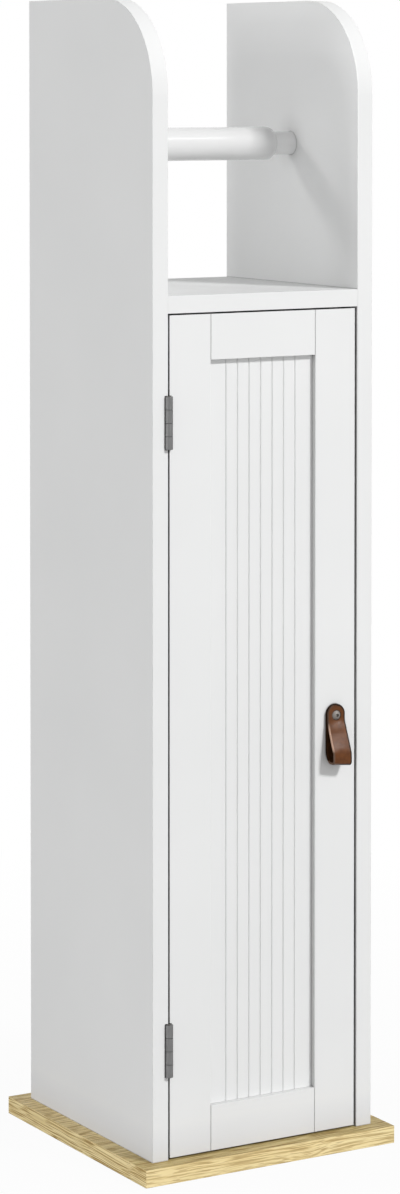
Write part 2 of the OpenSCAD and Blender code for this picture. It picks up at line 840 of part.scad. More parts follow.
// The plug that closes the barrel's left end: neck, rounded cap, spigot and a boss for the spring
module roller_end_plug() {
    color(white_plastic) {
        along_minus_x([-barrel_x + cap_l, 0, roller_z]) rotate_extrude() rounded_half_section(roller_r, cap_l);
        along_minus_x([-barrel_x + cap_l, 0, roller_z]) neck(neck_tip_x - barrel_x + cap_l);
        along_x([-barrel_x + cap_l, 0, roller_z]) cylinder(r = bore_r - slide_fit, h = plug_spigot_l);
        along_x([plug_face_x, 0, roller_z]) cylinder(r = boss_r, h = boss_l);
    }
}

// The plunger: neck, flange that keeps it in the barrel, guide and a boss for the spring
module roller_plunger() {
    color(white_plastic) {
        along_x([flange_x1, 0, roller_z]) neck(neck_tip_x - flange_x1);
        along_x([flange_x0, 0, roller_z]) cylinder(r = bore_r - slide_fit, h = flange_t);
        along_x([guide_x0, 0, roller_z]) cylinder(r = guide_r, h = guide_l);
        along_minus_x([guide_x0, 0, roller_z]) cylinder(r = boss_r, h = boss_l);
    }
}

// How far along X the spring's wire has come after a number of coils: the first and last lie close
function coil_x(turn) =
    turn < 1 ? coil_x0 + turn * end_pitch :
    turn > coil_count - 1 ? coil_x1 - (coil_count - turn) * end_pitch :
    coil_x0 + end_pitch + (turn - 1) * open_pitch;

// One ring of points around the wire
function wire_ring(i) =
    let (
        turn = i / rings_per_coil,
        angle = 360 * turn,
        rise = atan(open_pitch / (PI * coil_d)),
        out = [0, cos(angle), sin(angle)],
        side = [cos(rise), sin(rise) * sin(angle), -sin(rise) * cos(angle)],
        middle = [coil_x(turn), 0, roller_z] + out * coil_d / 2
    )
    [for (k = [0 : wire_sides - 1]) middle + (out * cos(k * 360 / wire_sides) + side * sin(k * 360 / wire_sides))
        * wire_d / 2];

function wire_faces(i) = [
    for (k = [0 : wire_sides - 1])
        let (a = i * wire_sides + k, b = i * wire_sides + (k + 1) % wire_sides, c = a + wire_sides, d = b + wire_sides)
            each [[a, b, d], [a, d, c]]
];

module roller_spring() {
    last = ring_count * wire_sides;
    points = [for (i = [0 : ring_count]) each wire_ring(i)];
    start_cap = [for (k = [1 : wire_sides - 2]) [0, k + 1, k]];
    end_cap = [for (k = [1 : wire_sides - 2]) [last, last + k, last + k + 1]];
    sides = [for (i = [0 : ring_count - 1]) each wire_faces(i)];
    color(grey_steel) polyhedron(points = points, faces = concat(start_cap, sides, end_cap));
}

// ---------- Assembly ----------

base_board();
left_side_panel();
right_side_panel();
roll_bay_shelf();
back_board();
base_screws();
base_dowels();
shelf_cam_bolts();
shelf_cam_locks();
shelf_dowels();
upper_hinge_frame_leaf();
upper_hinge_pin();
lower_hinge_frame_leaf();
lower_hinge_pin();
hinge_frame_screws();
catch_housing();
catch_magnet();
catch_pole_plates();
catch_screws();
door_left_stile();
door_right_stile();
door_top_rail();
door_bottom_rail();
door_panel();
upper_hinge_door_leaf();
lower_hinge_door_leaf();
hinge_door_screws();
leather_pull();
pull_screw();
pull_nut();
strike_plate();
strike_screw();
roller_barrel();
roller_end_plug();
roller_spring();
roller_plunger();
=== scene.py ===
import json
import math

import bmesh
import bpy
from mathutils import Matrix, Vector
from mathutils.geometry import interpolate_bezier


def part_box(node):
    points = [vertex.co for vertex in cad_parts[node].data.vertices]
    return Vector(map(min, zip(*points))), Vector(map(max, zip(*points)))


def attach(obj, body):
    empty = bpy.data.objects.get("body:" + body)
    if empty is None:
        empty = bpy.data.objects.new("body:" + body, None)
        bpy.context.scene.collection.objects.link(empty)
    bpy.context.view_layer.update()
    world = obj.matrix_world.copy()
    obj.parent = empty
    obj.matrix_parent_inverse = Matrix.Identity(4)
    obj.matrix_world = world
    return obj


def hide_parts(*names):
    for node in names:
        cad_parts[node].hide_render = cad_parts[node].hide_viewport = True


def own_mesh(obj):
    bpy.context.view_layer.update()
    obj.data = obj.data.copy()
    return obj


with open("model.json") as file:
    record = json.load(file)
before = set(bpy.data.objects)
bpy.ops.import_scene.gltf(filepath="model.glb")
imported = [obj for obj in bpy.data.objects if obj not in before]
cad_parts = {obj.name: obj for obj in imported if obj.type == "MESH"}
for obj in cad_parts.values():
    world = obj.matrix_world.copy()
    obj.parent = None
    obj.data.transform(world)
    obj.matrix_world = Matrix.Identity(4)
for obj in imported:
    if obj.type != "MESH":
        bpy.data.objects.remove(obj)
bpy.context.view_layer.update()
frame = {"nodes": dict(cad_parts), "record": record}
nodes = frame["nodes"]

BASE_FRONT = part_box("base_board")[0].y
BASE_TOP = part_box("base_board")[1].z
SHELF_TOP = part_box("roll_bay_shelf")[1].z
BAY_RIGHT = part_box("right_side_panel")[0].x
CABINET_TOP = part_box("right_side_panel")[1].z
ROLLER_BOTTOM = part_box("roller_barrel")[0].z
ROLLER_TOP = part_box("roller_barrel")[1].z


# ---------- Camera ----------

LENS = 105.77  # in mm, as the sensor's width is
SENSOR_WIDTH = 36
LENS_SHIFT = -0.335
CAMERA_PLACE = (-1.25545, -2.12555, 0.74679)
CAMERA_TURN = 30.59  # in degrees, to the right of looking straight back
CAMERA_TILT = 1.975  # in degrees, below level


def make_camera():
    """A camera in front, to the left and a little below the top of the cabinet."""
    data = bpy.data.cameras.new("camera")
    data.lens = LENS
    data.sensor_width = SENSOR_WIDTH
    data.shift_y = LENS_SHIFT
    camera = bpy.data.objects.new("camera", data)
    bpy.context.scene.collection.objects.link(camera)
    camera.location = CAMERA_PLACE
    camera.rotation_euler = (math.pi / 2 - math.radians(CAMERA_TILT), 0, -math.radians(CAMERA_TURN))
    bpy.context.scene.camera = camera


# ---------- Nodes ----------

NOISE_LOW = 0.3  # most of a noise lies between these two
NOISE_HIGH = 0.7
MIX_SOCKETS = {"RGBA": (6, 7, 2), "VECTOR": (4, 5, 1)}  # a Mix node's two inputs and its output


def grey(level):
    return (level, level, level)


class Nodes:
    """A node tree, and short ways to add nodes to it."""

    def __init__(self, tree):
        self.tree = tree

    def add(self, kind, **settings):
        made = self.tree.nodes.new(kind)
        for key, value in settings.items():
            setattr(made, key, value)
        return made

    def feed(self, socket, value):
        """Give a socket a number, a colour, or what another node puts out."""
        if isinstance(value, bpy.types.NodeSocket):
            self.tree.links.new(value, socket)
        elif isinstance(value, tuple):
            socket.default_value = (*value, 1)
        else:
            socket.default_value = value

    def maths(self, operation, first, second):
        made = self.add("ShaderNodeMath", operation=operation)
        self.feed(made.inputs[0], first)
        self.feed(made.inputs[1], second)
        return made.outputs["Value"]

    def plus(self, first, second):
        return self.maths("ADD", first, second)

    def times(self, first, second):
        return self.maths("MULTIPLY", first, second)

    def larger(self, first, second):
        return self.maths("MAXIMUM", first, second)

    def inverted(self, share):
        return self.maths("SUBTRACT", 1, share)

    def ranged(self, source, low, high, to_low=0, to_high=1):
        made = self.add("ShaderNodeMapRange")
        self.feed(made.inputs["Value"], source)
        self.feed(made.inputs["From Min"], low)
        self.feed(made.inputs["From Max"], high)
        self.feed(made.inputs["To Min"], to_low)
        self.feed(made.inputs["To Max"], to_high)
        return made.outputs["Result"]

    def part_of(self, vector, axis):
        made = self.add("ShaderNodeSeparateXYZ")
        self.feed(made.inputs["Vector"], vector)
        return made.outputs[axis]

    def seen_directly(self):
        """1 for what the camera, a reflection or glass shows, and 0 for light that falls on the cabinet."""
        path = self.add("ShaderNodeLightPath").outputs
        mirrored = self.larger(path["Is Glossy Ray"], path["Is Transmission Ray"])
        return self.larger(path["Is Camera Ray"], mirrored)


class Finish(Nodes):
    """A material with its shader."""

    def __init__(self, name):
        self.material = bpy.data.materials.new(name)
        self.material.use_nodes = True
        super().__init__(self.material.node_tree)
        self.shader = self.tree.nodes["Principled BSDF"]
        self.place = self.add("ShaderNodeTexCoord").outputs["Object"]

    def set(self, **values):
        for key, value in values.items():
            self.shader.inputs[key.replace("_", " ")].default_value = value

    def stretched(self, stretch):
        """The object's coordinates scaled along each axis."""
        mapping = self.add("ShaderNodeMapping")
        mapping.inputs["Scale"].default_value = stretch
        self.feed(mapping.inputs["Vector"], self.place)
        return mapping.outputs["Vector"]

    def noise(self, vector, scale, detail, roughness=0.5):
        made = self.add("ShaderNodeTexNoise")
        self.feed(made.inputs["Vector"], vector)
        self.feed(made.inputs["Scale"], scale)
        self.feed(made.inputs["Detail"], detail)
        self.feed(made.inputs["Roughness"], roughness)
        return made.outputs["Fac"]

    def pebble(self, scale):
        """A grain of small rounded cells."""
        made = self.add("ShaderNodeTexVoronoi", feature="SMOOTH_F1")
        self.feed(made.inputs["Vector"], self.place)
        self.feed(made.inputs["Scale"], scale)
        return made.outputs["Distance"]

    def attribute(self, name):
        return self.add("ShaderNodeAttribute", attribute_name=name).outputs["Fac"]

    def ramp(self, source, *stops):
        """Colours at places from 0 to 1: each stop is a place and a colour."""
        made = self.add("ShaderNodeValToRGB")
        points = made.color_ramp.elements
        while len(points) < len(stops):
            points.new(0.5)
        for point, (place, colour) in zip(points, stops):
            point.position = place
            point.color = (*colour, 1)
        self.feed(made.inputs["Fac"], source)
        return made.outputs["Color"]

    def shades(self, noise, dark, light):
        """From the dark colour to the light one, over most of a noise."""
        return self.ramp(noise, (NOISE_LOW, dark), (NOISE_HIGH, light))

    def mixed(self, factor, first, second, blend="MIX", kind="RGBA"):
        made = self.add("ShaderNodeMix", data_type=kind, blend_type=blend)
        first_input, second_input, output = MIX_SOCKETS[kind]
        self.feed(made.inputs[0], factor)
        self.feed(made.inputs[first_input], first)
        self.feed(made.inputs[second_input], second)
        return made.outputs[output]

    def toned(self, factor, colour, tone):
        """The colour where the factor is 1, and the colour times the tone where it is 0."""
        return self.mixed(factor, self.mixed(1, colour, tone, "MULTIPLY"), colour)

    def openness(self, reach):
        """1 on an open face, falling towards 0 where other faces crowd it within the reach."""
        made = self.add("ShaderNodeAmbientOcclusion", samples=8)
        self.feed(made.inputs["Distance"], reach)
        return made.outputs["AO"]

    def facing_squared(self, axis):
        """1 on a face that looks along the object's axis, and 0 on a face that lies along it."""
        facing = self.part_of(self.add("ShaderNodeTexCoord").outputs["Normal"], axis)
        return self.times(facing, facing)

    def colour(self, source):
        self.feed(self.shader.inputs["Base Color"], source)

    def roughness(self, noise, at_low, at_high):
        """Roughness that follows a noise between two values."""
        spread = self.ranged(noise, NOISE_LOW, NOISE_HIGH, at_low, at_high)
        self.feed(self.shader.inputs["Roughness"], spread)

    def bump(self, height, strength, distance, soft_edge=0):
        """Fine relief, over edges that look rounded to the soft edge's radius."""
        made = self.add("ShaderNodeBump")
        self.feed(made.inputs["Strength"], strength)
        self.feed(made.inputs["Distance"], distance)
        self.feed(made.inputs["Height"], height)
        if soft_edge:
            rounded = self.add("ShaderNodeBevel", samples=4)
            self.feed(rounded.inputs["Radius"], soft_edge)
            self.feed(made.inputs["Normal"], rounded.outputs["Normal"])
        self.feed(self.shader.inputs["Normal"], made.outputs["Normal"])


# ---------- White paint ----------
# Each reach is how far away another face still darkens the paint with painted shade. Each tone multiplies
# the white, as painted light or shade.

BOARD_SOFT_EDGE = 0.0005

# Painted shade in fine joints and in narrow gaps, such as those round the door.
FINE_JOINT_REACH = 0.0012
FINE_JOINT_PAINTED_SHADE = (0.52, 0.52, 0.515)
GAP_REACH = 0.004
GAP_PAINTED_SHADE = (0.13, 0.13, 0.127)

# Painted shade on the sides of the door frame's steps.
STEP_REACH = 0.01
STILE_STEP_PAINTED_SHADE = 0.7
RAIL_STEP_PAINTED_SHADE = 0.85
# Painted shade on the shelf's top face.
SHELF_TOP_PAINTED_SHADE = 0.92

# Painted shade, a little darker and cooler, just above the base board.
BASE_PAINTED_SHADE = (0.88, 0.895, 0.94)
BASE_PAINTED_SHADE_HEIGHT = 0.024

# Painted light and shade on the bay's right face: darker at the shelf, lighter from near the roller up.
BAY_PAINTED_LIGHT_TONES = (0.97, 1.085)  # at the shelf, and from a little under the roller upwards
BAY_LIGHTENS_OVER = 0.09  # the height above the shelf where the second tone is reached
BAY_TONE_UNDER_TOP = (0.035, 0.015)  # how far under the top it begins and ends to fade
BAY_TONE_BEHIND_FACE = (0.0005, 0.0015)  # and how far behind the bay's right face

# Painted shadow round the roller's neck on the bay's right face.
NECK_SHADE_REACH = 0.016
NECK_SHADE_TONE = 0.65
NECK_SHADE_SPARED = 0.7  # the share of it that is left out behind the neck and above it
NECK_SHADE_FRONT = (-0.008, 0.004)  # it weakens from front to back between these places along Y
NECK_SHADE_TOP = 0.012  # and upwards over this height, to the level of the roller's top
NECK_SHADE_BOTTOM = (0.03, 0.02)  # how far under the roller it begins, and is full


def painted_joint_shades(finish, white):
    """Painted shade: grey in fine joints, and dark in narrow gaps."""
    joint_clear = finish.ranged(finish.openness(FINE_JOINT_REACH), 0.5, 0.85)
    white = finish.mixed(joint_clear, FINE_JOINT_PAINTED_SHADE, white)
    gap_clear = finish.ranged(finish.openness(GAP_REACH), 0.12, 0.48)
    return finish.mixed(gap_clear, GAP_PAINTED_SHADE, white)


def painted_step_shade(finish, white, painted_step_tone):
    """Painted shade, darker on the sides of the step that the door's frame makes with its panel."""
    clear = finish.ranged(finish.openness(STEP_REACH), 0.85, 1)
    return finish.toned(finish.larger(clear, finish.facing_squared("Y")), white, grey(painted_step_tone))


def painted_bay_light(finish, white, up):
    """Painted light and shade: a little darker at the shelf, and lighter from the roller up to just under
    the top.
    """
    start, end = BAY_TONE_BEHIND_FACE
    behind_face = finish.ranged(finish.part_of(finish.place, "X"), BAY_RIGHT + start, BAY_RIGHT + end)
    start, end = BAY_TONE_UNDER_TOP
    at_top = finish.ranged(up, CABINET_TOP - start, CABINET_TOP - end)
    tone = finish.ranged(up, SHELF_TOP, SHELF_TOP + BAY_LIGHTENS_OVER, *BAY_PAINTED_LIGHT_TONES)
    return finish.toned(finish.larger(behind_face, at_top), white, tone)


def painted_neck_shadow(finish, white, up):
    """Painted shadow, darker in the corner round the roller's neck, most in front of it and below it."""
    clear = finish.ranged(finish.openness(NECK_SHADE_REACH), 0.45, 0.95)
    back = finish.ranged(finish.part_of(finish.place, "Y"), *NECK_SHADE_FRONT, 0, NECK_SHADE_SPARED)
    above = finish.ranged(up, ROLLER_TOP - NECK_SHADE_TOP, ROLLER_TOP, 0, NECK_SHADE_SPARED)
    start, end = NECK_SHADE_BOTTOM
    below = finish.ranged(up, ROLLER_BOTTOM - start, ROLLER_BOTTOM - end, 1, 0)
    spared = finish.larger(finish.larger(clear, above), back)
    return finish.toned(finish.larger(spared, below), white, grey(NECK_SHADE_TONE))


def white_paint(name, jointed=False, painted_step_tone=None, bay_side=False, painted_top_shade=None):
    """Satin white with faint clouding and orange peel.

    A jointed piece has painted shade: grey in fine joints and dark in narrow gaps. Where a piece makes a
    step with the one behind it, the sides of the step have the step's painted shade, and a top face has the
    top's.
    The bay's side has painted light and a painted shadow round the roller's neck. Just above the base board
    all pieces have painted shade, a little darker and cooler.
    """
    finish = Finish(name)
    clouds = finish.noise(finish.place, 9, detail=2)
    orange_peel = finish.noise(finish.place, 650, detail=2)
    up = finish.part_of(finish.place, "Z")
    white = finish.shades(clouds, (0.852, 0.857, 0.855), (0.877, 0.881, 0.879))
    if jointed:
        white = painted_joint_shades(finish, white)
    if painted_step_tone:
        white = painted_step_shade(finish, white, painted_step_tone)
    # Painted light, and a painted shadow round the roller's neck, on the bay's right face.
    if bay_side:
        white = painted_bay_light(finish, white, up)
        white = painted_neck_shadow(finish, white, up)
    # Painted shade on a top face.
    if painted_top_shade:
        white = finish.toned(finish.inverted(finish.facing_squared("Z")), white, grey(painted_top_shade))
    # Painted shade just above the base board.
    above_base = finish.ranged(up, BASE_TOP, BASE_TOP + BASE_PAINTED_SHADE_HEIGHT)
    finish.colour(finish.toned(above_base, white, BASE_PAINTED_SHADE))
    finish.set(Specular_IOR_Level=0.06)
    finish.roughness(orange_peel, 0.56, 0.66)
    finish.bump(orange_peel, strength=0.12, distance=0.00006, soft_edge=BOARD_SOFT_EDGE)
    return finish.material


# ---------- Oak ----------

OAK_BROWN = (0.94, 0.77, 0.415)
OAK_PALE = (0.985, 0.835, 0.475)
GRAIN_BROWN = (0.42, 0.32, 0.18)
GRAIN_PALE = (0.84, 0.8, 0.69)
NO_GRAIN = (1, 1, 1)
FRONT_GRAIN = 0.65  # how strongly the grain's lines show on the front and back edges
PORE_BROWN = (0.45, 0.3, 0.12)
GRAIN_BEND = 0.25
# Painted shade on the top face's strip along the front edge.
OAK_TOP_PAINTED_SHADE = (0.62, 0.6, 0.51)
OAK_TOP_PAINTED_SHADE_ENDS = (0.015, 0.08)  # how far behind the front edge the top's shade begins and ends to fade


def oak():
    """Pale oak: the grain runs from side to side, and along the edging on the two ends, with painted shade
    on the top near the front edge.
    """
    finish = Finish("pale_oak")
    on_end = finish.maths("GREATER_THAN", finish.facing_squared("X"), 0.5)

    def along_grain(across, along):
        """Coordinates that change slowly along the grain: along X on most faces, along Y on the ends."""
        from_side_to_side = finish.stretched((along, across, across))
        from_front_to_back = finish.stretched((across, along, across))
        return finish.mixed(on_end, from_side_to_side, from_front_to_back, kind="VECTOR")

    bends = finish.noise(along_grain(across=1, along=0.5), 38, detail=1)

    def bent(across, along):
        shift = finish.add("ShaderNodeVectorMath", operation="MULTIPLY_ADD")
        finish.feed(shift.inputs[0], bends)
        shift.inputs[1].default_value = (0, GRAIN_BEND, GRAIN_BEND)
        finish.feed(shift.inputs[2], along_grain(across, along))
        return shift.outputs[0]

    figure = finish.noise(bent(across=60, along=3), 3, detail=1)
    lines = finish.noise(bent(across=60, along=1.3), 22, detail=0.6)
    pores = finish.noise(bent(across=60, along=3.6), 24, detail=0)
    body = finish.ramp(figure, (0.35, OAK_BROWN), (0.65, OAK_PALE))
    grain = finish.ramp(lines, (0.36, GRAIN_BROWN), (0.5, GRAIN_PALE), (0.58, NO_GRAIN))
    grain_strength = finish.ranged(finish.facing_squared("Y"), 0, 1, 1, FRONT_GRAIN)
    lined = finish.mixed(grain_strength, body, grain, "MULTIPLY")
    pored = finish.mixed(finish.ranged(pores, 0.28, 0.4, 0.5, 0), lined, PORE_BROWN)
    # Painted shade on the top face near the front edge.
    upright = finish.inverted(finish.facing_squared("Z"))
    start, end = OAK_TOP_PAINTED_SHADE_ENDS
    behind_front = finish.ranged(finish.part_of(finish.place, "Y"), BASE_FRONT + start, BASE_FRONT + end)
    finish.colour(finish.toned(finish.larger(upright, behind_front), pored, OAK_TOP_PAINTED_SHADE))
    finish.set(Specular_IOR_Level=0.15)
    finish.roughness(lines, 0.55, 0.45)
    relief = finish.plus(lines, finish.ranged(pores, 0.28, 0.4, 0, 0.4))
    finish.bump(relief, strength=0.3, distance=0.0002, soft_edge=BOARD_SOFT_EDGE)
    return finish.material


# ---------- Other finishes ----------


def white_hardboard():
    finish = Finish("white_hardboard")
    fibres = finish.noise(finish.stretched((1, 1, 0.4)), 900, detail=3)
    finish.colour(finish.shades(fibres, (0.8, 0.8, 0.785), (0.86, 0.86, 0.85)))
    finish.roughness(fibres, 0.5, 0.65)
    finish.bump(fibres, strength=0.2, distance=0.0001)
    return finish.material


def bare_wood():
    finish = Finish("bare_beech")
    fibres = finish.noise(finish.stretched((1, 1, 0.12)), 900, detail=4)
    finish.colour(finish.shades(fibres, (0.52, 0.36, 0.2), (0.7, 0.53, 0.34)))
    finish.roughness(fibres, 0.6, 0.75)
    finish.bump(fibres, strength=0.3, distance=0.0001)
    return finish.material


def metal(name, dark, light, rough, stretch=(1, 1, 1)):
    """Satin metal with fine brush marks and a few darker places."""
    finish = Finish(name)
    marks = finish.noise(finish.stretched(stretch), 1400, detail=4, roughness=0.6)
    finish.colour(finish.shades(marks, dark, light))
    finish.set(Metallic=1.0)
    finish.roughness(marks, rough - 0.06, rough + 0.08)
    finish.bump(marks, strength=0.15, distance=0.00004)
    return finish.material


def zinc_plate():
    return metal("zinc_plated_steel", dark=(0.23, 0.21, 0.195), light=(0.3, 0.28, 0.26), rough=0.68)


def hinge_steel():
    """Satin steel, brushed up and down."""
    return metal("satin_hinge_steel", dark=grey(0.17), light=grey(0.23), rough=0.42, stretch=(1, 1, 0.1))


def spring_wire():
    return metal("spring_wire", dark=(0.4, 0.4, 0.42), light=(0.5, 0.5, 0.52), rough=0.3)


def gloss_plastic(name, white):
    finish = Finish(name)
    flow = finish.noise(finish.stretched((0.2, 1, 1)), 120, detail=2)
    finish.colour(finish.shades(flow, grey(white - 0.02), grey(white)))
    finish.set(Specular_IOR_Level=0.2, Coat_Weight=0.8, Coat_Roughness=0.1)
    finish.roughness(flow, 0.46, 0.52)
    finish.bump(flow, strength=0.05, distance=0.00005)
    return finish.material


def matt_plastic():
    finish = Finish("matt_white_plastic")
    grain = finish.noise(finish.place, 1800, detail=2)
    finish.colour(finish.shades(grain, (0.83, 0.83, 0.82), (0.87, 0.87, 0.86)))
    finish.roughness(grain, 0.45, 0.6)
    finish.bump(grain, strength=0.25, distance=0.00006)
    return finish.material


def ferrite():
    finish = Finish("dark_ferrite")
    grain = finish.noise(finish.place, 2200, detail=3)
    finish.colour(finish.shades(grain, (0.012, 0.012, 0.014), (0.03, 0.03, 0.033)))
    finish.roughness(grain, 0.5, 0.7)
    finish.bump(grain, strength=0.4, distance=0.0001)
    return finish.material


# ---------- Leather finishes ----------

# Burnished edges with painted shade along some of them, a painted highlight along the left edge, and painted
# shade in the fold.
BURNISHED_AND_SHADE_BROWN = (0.016, 0.006, 0.002)
PAINTED_HIGHLIGHT_BROWN = (0.58, 0.38, 0.28)
FOLD_PAINTED_SHADE_BROWN = (0.03, 0.011, 0.004)
FOLD_REACH = 0.002
OUTLINE_WANDERS = 0.0002  # how unevenly the dark outline runs
OUTLINE_DARK = 0.0002  # fully burnished, or in painted shade, up to this far in from the edge
OUTLINE_PALE = 0.0006  # pale with the painted highlight up to this far in
OUTLINE_ENDS = 0.001


def leather_finish(name, brown, dark, rough):
    """Smooth strap leather: a fine pebble, soft mottling, an outline burnished dark and partly in painted
    shade, a painted highlight along part of it, and painted shade in the fold.
    """
    finish = Finish(name)
    mottle = finish.noise(finish.place, 260, detail=4, roughness=0.6)
    crease = finish.noise(finish.stretched((1, 0.3, 0.3)), 700, detail=3)
    pebble = finish.pebble(2400)
    light = tuple(1.25 * part for part in brown)
    hide = finish.ramp(mottle, (0.28, dark), (0.52, brown), (0.75, light))
    pebbled = finish.mixed(finish.ranged(pebble, 0.3, 0.9, 0, 0.3), hide, dark)
    wandering = finish.ranged(mottle, 0, 1, -OUTLINE_WANDERS, OUTLINE_WANDERS)
    from_edge = finish.plus(finish.attribute("from_edge"), wandering)
    inside_outline = finish.ranged(from_edge, OUTLINE_DARK, OUTLINE_ENDS)
    # Burnished outline, together with painted shade where the pull sets it further in.
    burnished = finish.mixed(inside_outline, BURNISHED_AND_SHADE_BROWN, pebbled)
    # Painted highlight, pale along the outline where the pull sets it.
    along_outline = finish.ranged(from_edge, OUTLINE_PALE, OUTLINE_ENDS, 1, 0)
    edged = finish.mixed(finish.times(finish.attribute("painted_highlight"), along_outline), burnished, PAINTED_HIGHLIGHT_BROWN)
    # Painted shade in the fold, where the layers crowd each other.
    clear_of_fold = finish.ranged(finish.openness(FOLD_REACH), 0.5, 0.85)
    finish.colour(finish.mixed(clear_of_fold, FOLD_PAINTED_SHADE_BROWN, edged))
    finish.roughness(mottle, rough - 0.04, rough + 0.04)
    finish.bump(finish.plus(finish.plus(pebble, crease), mottle), strength=0.3, distance=0.0001)
    return finish


def leather():
    finish = leather_finish("brown_leather", (0.13, 0.042, 0.0095), (0.09, 0.028, 0.0055), 0.32)
    finish.set(Specular_IOR_Level=0.21)
    return finish.material


def leather_inside():
    """The strap's unfinished inner side, matt and dark."""
    finish = leather_finish("leather_flesh_side", (0.06, 0.022, 0.007), (0.04, 0.014, 0.004), 0.8)
    finish.set(Specular_IOR_Level=0.05)
    return finish.material


def leather_edge():
    """The strap's cut edge, rounded and burnished."""
    finish = leather_finish("burnished_leather_edge", (0.1, 0.036, 0.011), (0.06, 0.02, 0.006), 0.5)
    finish.set(Specular_IOR_Level=0.04)
    return finish.material


# ---------- New pieces ----------


def new_piece(name, shape, *finishes):
    mesh = bpy.data.meshes.new(name)
    shape.to_mesh(mesh)
    shape.free()
    piece = bpy.data.objects.new(name, mesh)
    bpy.context.scene.collection.objects.link(piece)
    for finish in finishes:
        mesh.materials.append(finish)
    return piece


# ---------- Leather pull ----------

MM = 0.001
LEATHER_T = 0.00158
LAYERS_APART = 0.00004  # a hair's breadth between the two layers under the screw
SCREW_HEAD_R = 0.0032
PRESS_DEPTH = 0.0003  # how far the screw's head sinks the leather
PRESS_REACH = 0.0035  # how far outside the head the leather is level again
PRESS_BOTTOM = 0.022  # the press mark has faded out at this height
PRESS_FADE = 0.006
HEAD_PAINTED_SHADE = 0.0001  # painted shade round the screw's head: the leather right at the head counts as this far in from an edge
CREASE_UP = 0.0095  # the front layer slants back from here up
CREASE_FADE = 0.003
SLANT_TOP = 0.0305
SLANT_FADE = 0.006
CROWN = 0.00025  # how far the slanting stretch bows out between its edges
LOOP_STARTS_OUT = 0.0035  # how far from the door the loop's bottom begins
LOOP_PAINTED_SHADE_UP = 0.0013  # the loop's underside has painted shade up to here
RIGHT_EDGE_PAINTED_SHADE = 0.0007  # how much further in the painted shade reaches along the right edge, its shaded side
# Painted highlight along the front layer's left edge.
EDGE_HIGHLIGHT_ACROSS = 0.004  # the painted highlight on the left edge is strongest beyond this far from the middle
EDGE_HIGHLIGHT_LOW_UP = 0.012
EDGE_HIGHLIGHT_LOW = 0.22  # how strong the painted highlight on the left edge is below the slant
EDGE_HIGHLIGHT_HIGH = 0.12  # and above it
SKEW = 0.09  # how far the loop drops towards its right side, for each metre across
SKEW_TOP = 0.002  # the skew is full up to here, and then fades
SKEW_FADE = 0.014
TURN = 0.08  # how far the loop stands out further towards its right side, for each metre across
TURN_OUT = 0.0025  # the turn begins this far out from the door, and then grows
TURN_GROWS = 0.006
END_STEPS = 24
FLAT_STEPS = 40
EDGE_STEPS = 9
OUTER_SIDE = 0  # the pull's finishes, in the order that they are given
CUT_EDGE = 1
FLESH_SIDE = 2
FLAT_SIDE = 0.99  # a face that looks this squarely out of the leather is on its flat side
JOINED_WITHIN = 1e-6


def smooth_step(amount):
    amount = min(max(amount, 0), 1)
    return amount * amount * (3 - 2 * amount)


def stretch_of_strap(start, start_pull, end_pull, end, steps):
    """Places in the middle of the leather along one smooth stretch, from points in mm: out, and up."""
    handles = [Vector((*point, 0)) * MM for point in (start, start_pull, end_pull, end)]
    return [point.xy for point in interpolate_bezier(*handles, steps + 1)][1:]


def strap_run(tip_centre):
    """The middle of the leather: down the back layer, round the loop and up to the front end.

    Its points are in mm: how far out from the door, and how far up from the pull's lowest place.
    """
    back = LEATHER_T / 2 / MM
    front = back * 3 + LAYERS_APART / MM
    tip = tip_centre / MM
    bottom = 1.45
    loop_out = 11.3
    stretches = (
        ((back, tip), (back, 28), (back, 16), (back, 10.8), 16),
        ((back, 10.8), (back, 5.4), (3.2, bottom), (6.2, bottom), 14),
        ((6.2, bottom), (7, bottom), (7.7, bottom), (8.4, bottom), 4),
        ((8.4, bottom), (10.3, bottom), (loop_out, 2.4), (loop_out, 4.1), 12),
        ((loop_out, 4.1), (loop_out, 5.6), (11.28, 6.7), (11.25, 7.9), 6),
        ((11.25, 7.9), (11.2, 8.9), (11, 9.7), (10.6, 10.6), 6),
        ((10.6, 10.6), (8.6, 15.4), (6.9, 19.5), (5.1, 24), 16),
        ((5.1, 24), (3.7, 27.4), (front, 29.8), (front, 32.6), 20),
        ((front, 32.6), (front, 33.4), (front, 34.2), (front, tip), 6),
    )
    run = [Vector((back, tip)) * MM]
    for stretch in stretches:
        run += stretch_of_strap(*stretch)
    return run


def strap_rows(run):
    """For each row across the strap: its place, its direction, and its turn round an end's half circle."""
    turns = [math.pi / 2 * (1 - step / END_STEPS) for step in range(END_STEPS)]
    rows = [(run[0], Vector((0, -1)), turn) for turn in turns]
    for before, place, after in zip(run[:1] + run, run, run[1:] + run[-1:]):
        rows.append((place, (after - before).normalized(), 0))
    return rows + [(run[-1], Vector((0, 1)), turn) for turn in reversed(turns)]


def strap_section():
    """Once round the strap: the share of its flat width, from -1 to 1, and the turn of its rounded edge."""
    section = []
    for side in (1, -1):
        section += [(side * (2 * step / FLAT_STEPS - 1), side * math.pi / 2) for step in range(FLAT_STEPS)]
        section += [(side, side * math.pi * (0.5 - step / EDGE_STEPS)) for step in range(EDGE_STEPS)]
    return section + section[:1]


def slant_share(up):
    """1 on the front layer's slanting stretch, fading to 0 at the crease below it and the screw above it."""
    return smooth_step((up - CREASE_UP) / CREASE_FADE) * smooth_step((SLANT_TOP - up) / SLANT_FADE)


def painted_highlight_share(across, up):
    """How strong the painted highlight on the front layer's left edge is: most on the slant, and a little
    below and above it.
    """
    elsewhere = EDGE_HIGHLIGHT_LOW if up < EDGE_HIGHLIGHT_LOW_UP else EDGE_HIGHLIGHT_HIGH
    return (elsewhere + (1 - elsewhere) * slant_share(up)) * smooth_step(-across / EDGE_HIGHLIGHT_ACROSS)


